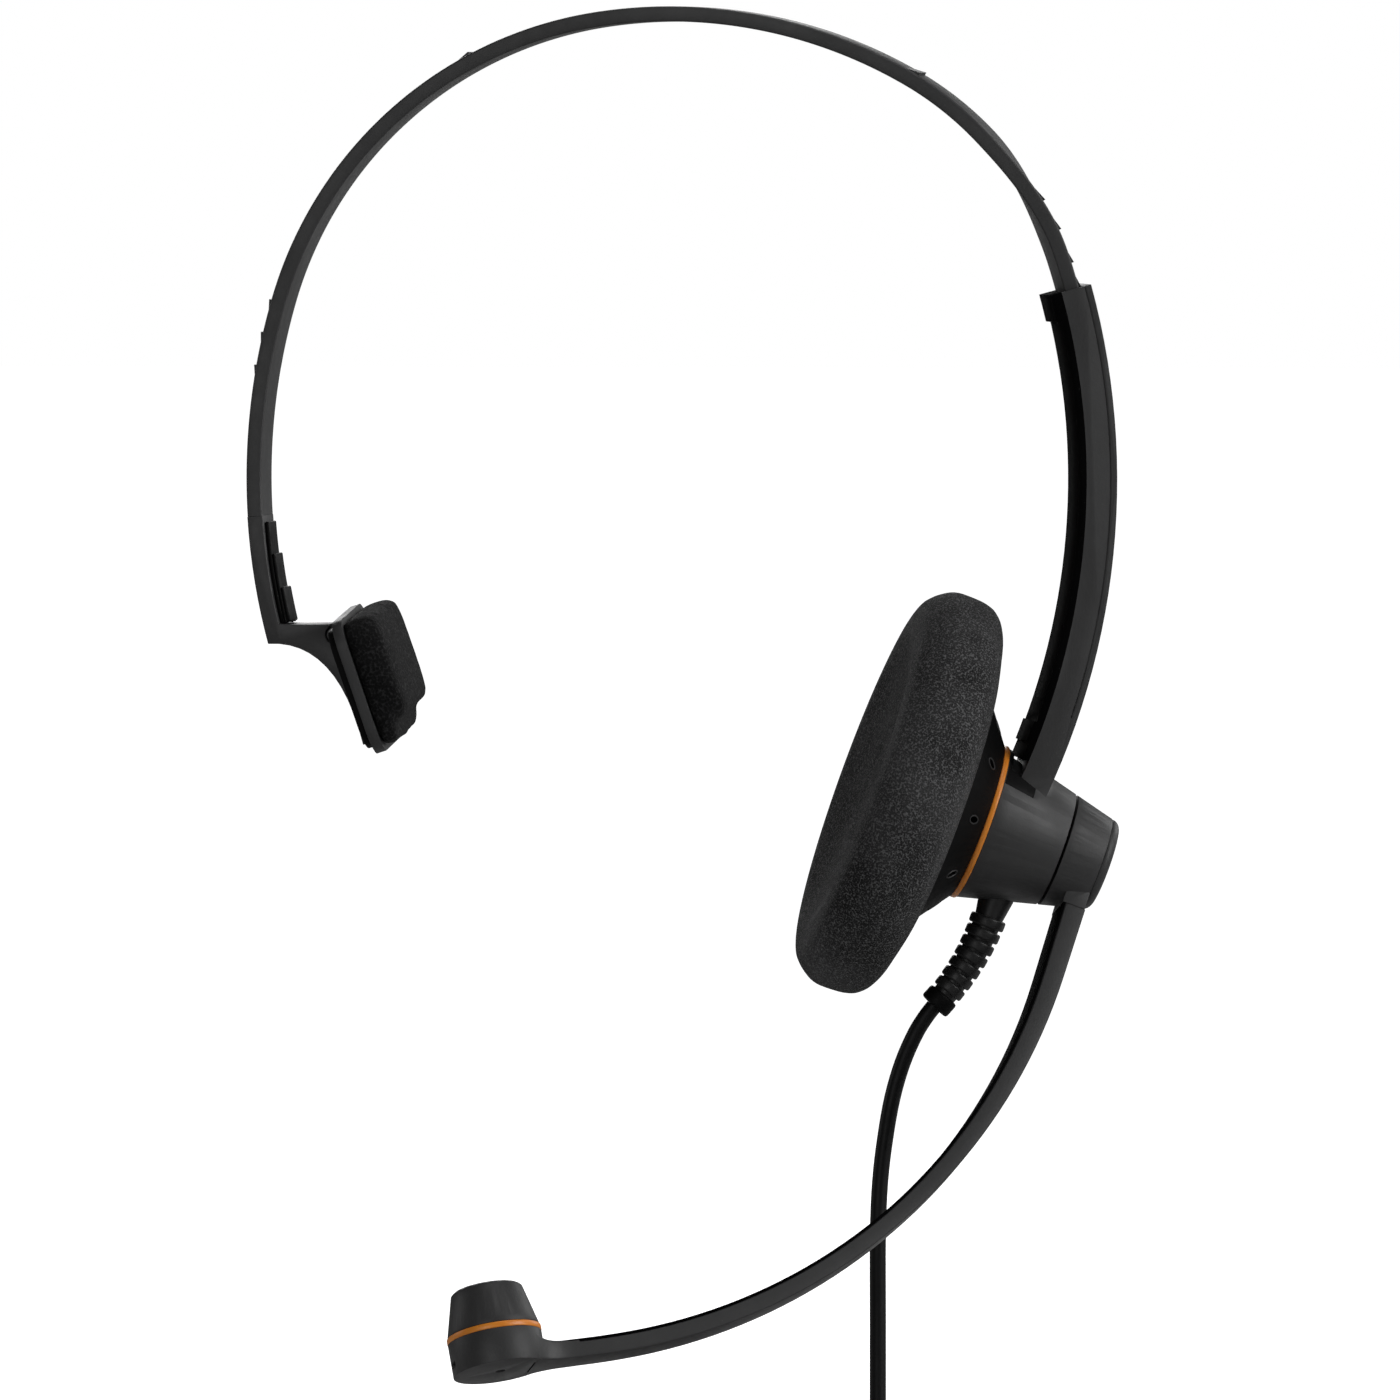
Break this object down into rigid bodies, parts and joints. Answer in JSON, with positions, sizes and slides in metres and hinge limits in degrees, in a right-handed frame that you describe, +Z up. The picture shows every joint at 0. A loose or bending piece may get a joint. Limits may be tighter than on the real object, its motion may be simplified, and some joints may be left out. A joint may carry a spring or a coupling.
{
  "type": "office headset",
  "caption": "Single-ear office headset: thin headband, foam temple pad, sliding ear arm with foam ear cushion, turning boom microphone and cable with tied coil and plug.",
  "frame": {"origin": "crown seat: the middle of the headband's inner face at its highest point", "axes": "+X from the temple pad to the ear cup, the wearer faces -Y, +Z up"},
  "size_m": [0.1197, 0.0789, 0.2867],
  "materials": {
    "charcoal_plastic": "satin dark grey moulded plastic",
    "black_plastic": "satin black moulded plastic",
    "orange_plastic": "satin orange accent",
    "black_foam": "matt black open-cell foam",
    "soft_rubber": "matt black rubber",
    "cable_jacket": "matt black cable jacket",
    "wire_jacket": "thin insulated lead, hidden",
    "spring_steel": "plain steel, hidden",
    "magnet_metal": "bright plated metal",
    "diaphragm_film": "thin film, hidden",
    "board": "printed board, hidden",
    "white_plastic": "white contact carrier inside the plug"
  },
  "bodies": {
    "headband": {"headband": "charcoal_plastic", "headband_core": "spring_steel", "temple_arm": "charcoal_plastic", "temple_clip": "black_plastic", "pad_hinge_pin": "spring_steel"},
    "temple_rest": {"pad_plate": "charcoal_plastic", "pad_backing": "black_plastic", "temple_pad": "black_foam"},
    "ear_cup": {"arm_shell": "charcoal_plastic", "arm_inner_cover": "black_plastic", "root_cover": "black_plastic", "cup_accent_ring": "orange_plastic", "front_shell": "black_plastic", "speaker_grille": "black_plastic", "driver_frame": "black_plastic", "driver_magnet": "magnet_metal", "driver_diaphragm": "diaphragm_film", "ear_cushion": "black_foam", "terminal_board": "board", "pivot_axle": "spring_steel", "friction_washer": "soft_rubber", "retaining_clip": "spring_steel", "cable_boot": "soft_rubber", "boot_collar": "black_plastic", "cable": "cable_jacket", "cable_coil": "cable_jacket", "coil_tie": "soft_rubber", "cable_tail": "cable_jacket", "plug_body": "black_plastic", "plug_shell": "magnet_metal", "plug_tongue": "white_plastic"},
    "boom": {"boom_hub": "charcoal_plastic", "hub_end_cap": "charcoal_plastic", "boom_arm": "charcoal_plastic", "boom_liner": "black_plastic", "boom_wire": "wire_jacket", "mic_base": "charcoal_plastic", "mic_accent_ring": "orange_plastic", "mic_housing": "charcoal_plastic", "mic_capsule": "magnet_metal", "mic_gasket": "soft_rubber"}
  },
  "joints": [
    {"name": "band_slide", "type": "hinge", "parent": "headband", "child": "ear_cup", "pos_m": [-0.03843, -0.01837, -0.06252], "axis": [-0.2079, 0.9781, 0], "range_deg": [-5, 10.5]},
    {"name": "boom_turn", "type": "hinge", "parent": "ear_cup", "child": "boom", "pos_m": [0.04178, -0.00132, -0.10912], "axis": [-0.9192, -0.1954, 0.342], "range_deg": [-10, 140]},
    {"name": "temple_pad_tilt", "type": "hinge", "parent": "headband", "child": "temple_rest", "pos_m": [-0.0461, 0, -0.0839], "axis": [0, 1, 0], "range_deg": [-10, 0]}
  ]
}
